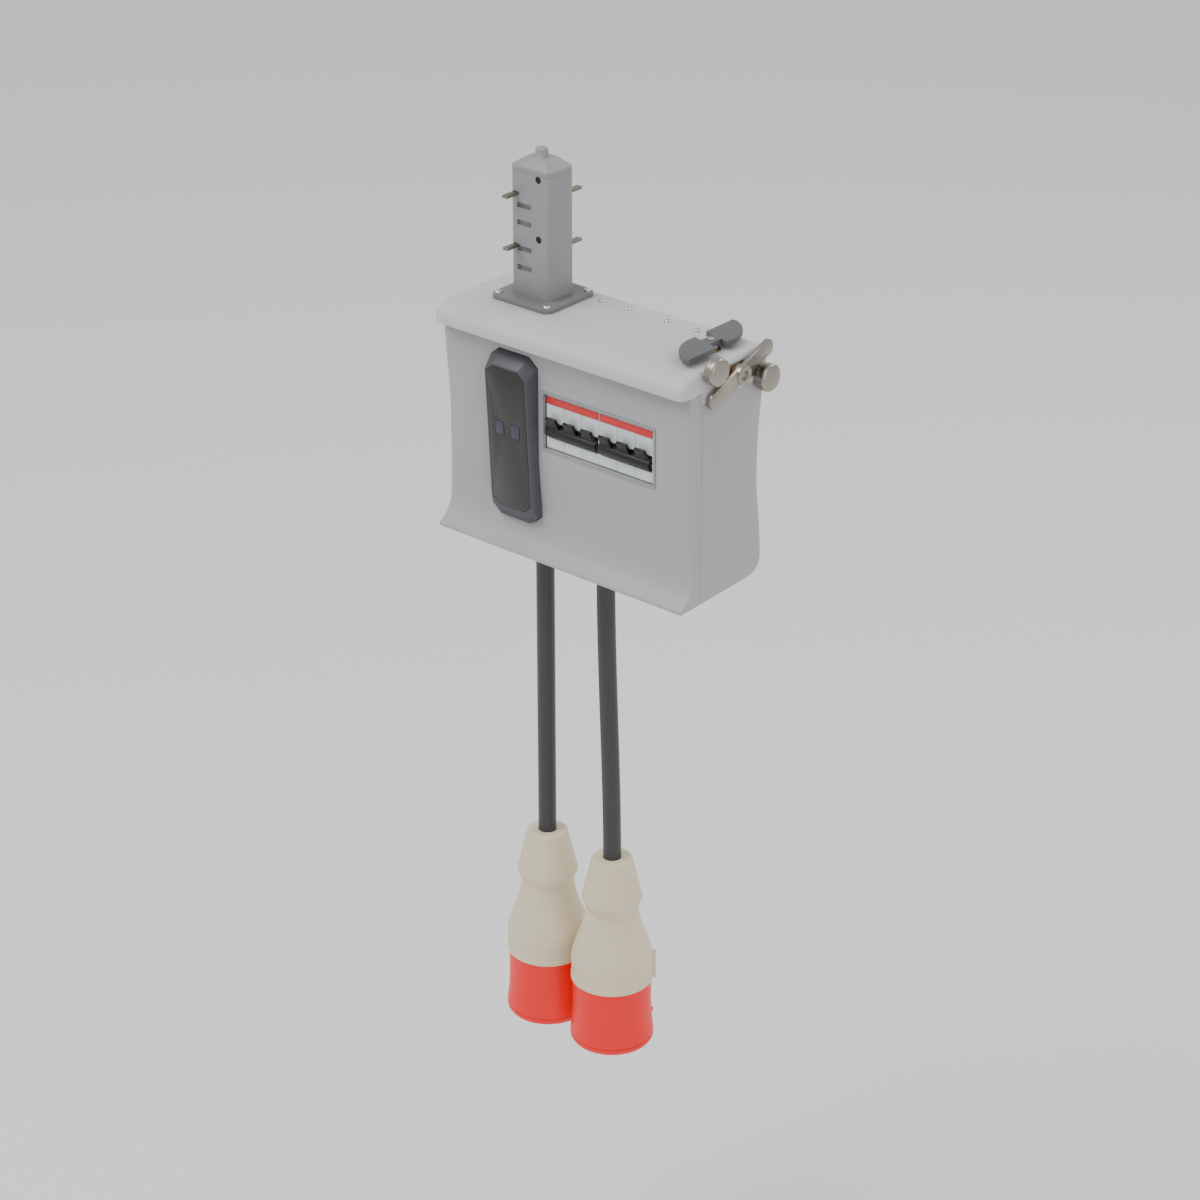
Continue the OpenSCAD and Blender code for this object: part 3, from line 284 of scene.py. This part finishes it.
# Screws and hinge pins: zinc-plated steel. The screws hold the deck, the flange, the front
# cover and the chassis plate. Thin pins carry the breakers' levers and the lids.
def metal(name, colour, rough, stretch=(1, 1, 1)):
    """Bare or plated metal with drawn or turned marks along the least stretched axis."""
    scratch = 0.25
    finish = Finish(name, metallic=1.0, roughness=rough)
    place = finish.add("TexCoord", {"out": "Object"})
    drawn = finish.add("Mapping", {}, Vector=place, Scale=stretch)
    marks = finish.add("TexNoise", {}, Vector=drawn, Scale=420.0, Detail=4.0, Roughness=0.65)
    cloud = finish.add("TexNoise", {}, Vector=place, Scale=45.0, Detail=3.0)
    dark = tuple(v * 0.72 for v in colour[:3]) + (1,)
    finish.feed("Base Color", finish.blend(cloud * 0.6 + marks * 0.4, dark, colour))
    finish.feed("Roughness", rough - 0.12 + marks * scratch)
    finish.feed("Normal", finish.add("Bump", {}, Strength=0.15, Distance=0.0001, Height=marks))
    return finish.material


def finished(material, *nodes):
    """A finish on nodes whose form stays as it is."""
    for node in nodes:
        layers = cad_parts[node].data.materials
        layers.clear()
        layers.append(material)


zinc = metal("screw_steel", tone(225, 226, 228), 0.3)
finished(zinc, "deck_screws", "flange_screws", "cover_screws", "chassis_screws", "toggle_pins", "lid_pins")

# Chassis: a rail under the deck that its screws pull on, a plate on the rear shell's
# bosses and the breakers' standard rail, all of pressed and zinc-plated sheet steel.
plated = metal("zinc_steel", tone(200, 204, 210), 0.38, (1, 1, 0.1))
finished(plated, "chassis_rail", "chassis_plate", "din_rail")

# Contact tower: a column and its lead-in cap, both moulded in a darker glass-filled
# plastic. The column is slotted in its front and its rear, and its foot stands in the flange.
tower_grey = moulded("tower_moulding", tone(142, 143, 145), 0.42, 0.08)
dressed("tower_column", "contact_tower", tower_grey, 0.3)
dressed("tower_lead_in", "tower_cap", tower_grey, 0.4)

# Tower flange: a flat moulded foot, darker than the column, held to the deck by a screw
# in each corner.
foot_grey = moulded("flange_moulding", tone(112, 113, 115), 0.45, 0.08)
dressed("tower_foot", "tower_flange", foot_grey, 0.6)

# Contact bars: tinned copper strip that runs up inside the column, each with a blade that
# stands out at the front or the rear. A black moulded carrier under the deck holds their feet.
copper = metal("contact_copper", tone(150, 142, 128), 0.35)
dressed("tower_blades", "contact_bars", copper, 0.2)
black = moulded("black_moulding", tone(42, 42, 44), 0.45)
finished(black, "bar_carrier")

# Dark screws: blackened steel, two in the front of the tower and two in its rear, and
# those that hold the lock's end plate.
dark_screw = metal("dark_screw", tone(60, 60, 62), 0.45)
finished(dark_screw, "tower_screws", "plate_screws")

# Locking claw: a dark two-lobed casting over the deck, on the head of its turned spindle.
# It turns behind the busway's lips once the tower is in.
cast = moulded("dark_steel", tone(92, 92, 94), 0.5, 0.15, 0.3, 500)
dressed("lock_claw", "claw", cast, 0.7, "claw_shaft")

# Lock handle: a nickel-plated two-arm plate and two turned knobs at the end of the hood,
# over an end plate that carries the handle's bush.
nickel = metal("handle_metal", tone(176, 168, 158), 0.3)
plate_metal = metal("end_plate_metal", tone(158, 152, 144), 0.4)
dressed("handle_plate", "lock_handle", nickel, 0.5, "handle")
dressed("handle_grips", "handle_knobs", nickel, 0.4, "handle")
dressed("end_plate", "bearing_plate", plate_metal, 0.3)

# Lock drive: brass bevel gears pressed on the two shafts inside the hood, which run in
# sintered bronze bushes.
bronze = metal("bronze", tone(176, 140, 90), 0.4)
brass = metal("brass", tone(206, 174, 104), 0.32)
finished(bronze, "spindle_bush", "shaft_bush")
finished(plated, "claw_spindle")
finished(brass, "claw_pinion", "handle_sector")

# Breakers: two three-pole miniature breakers snapped on their rail, in light grey moulded
# cases. The three black levers of each are ganged by one drum.
case_grey = moulded("breaker_moulding", tone(214, 220, 222), 0.4)
lever_black = moulded("toggle_black", tone(16, 16, 17), 0.4)
for k in (1, 2):
    dressed(f"breaker_case_{k}", f"breaker_{k}", case_grey, 0.3)
    dressed(f"breaker_levers_{k}", f"toggle_{k}", lever_black, 0.4, f"breaker_toggle_{k}")

# Marker strips: one thin red plastic strip on the nose of each breaker, above its levers,
# as such breakers have for their labels. These are left plain.
marker = moulded("marker_red", tone(206, 44, 46), 0.35)
dressed("marker_tapes", "marker_strips", marker, 0.2)

# Meter: a charcoal moulded bezel set in the front cover, leaning over a dark glossy pane,
# with two soft keys in the middle of the pane.
bezel = moulded("meter_moulding", tone(70, 71, 77), 0.42)
pane = moulded("meter_face", tone(44, 45, 41), 0.25, 0.1, 0.02)
key_blue = moulded("key_blue_grey", tone(62, 64, 80), 0.5)
dressed("meter_bezel", "meter_housing", bezel, 0.6)
dressed("meter_pane", "meter_window", pane, 0.15)
for side in ("left", "right"):
    dressed(f"meter_button_{side}", f"meter_key_{side}", key_blue, 0.5, f"key_{side}")

# Inside the box: black moulded current transformers, a grey terminal block and a brass
# earth bar, all carried by the chassis plate.
finished(black, "current_transformers")
finished(moulded("terminal_grey", tone(120, 126, 130), 0.45), "terminal_block")
finished(brass, "earth_bar")

# Cable glands: black polyamide, screwed through the underside and held by a flat nut
# inside. Their domed caps clamp the cables.
gland_black = moulded("gland_black", tone(40, 40, 42), 0.4)
for k in (1, 2):
    dressed(f"cable_gland_{k}", f"gland_{k}", gland_black, 0.4)
finished(gland_black, "gland_nut_1", "gland_nut_2")

# Connectors: cream moulded clamping nuts and shells, red collars with a sprung lid, and
# a black insert in each that holds its brass contact tubes.
cream = moulded("connector_cream", tone(222, 209, 180), 0.45, 0.05)
red = moulded("connector_red", tone(250, 6, 4), 0.42, 0.04)
finished(cream, "cord_nut_1", "cord_nut_2", "shell_1", "shell_2")
finished(red, "collar_1", "collar_2", "lid_1", "lid_2")
finished(black, "insert_1", "insert_2")
finished(brass, "contact_tubes_1", "contact_tubes_2")
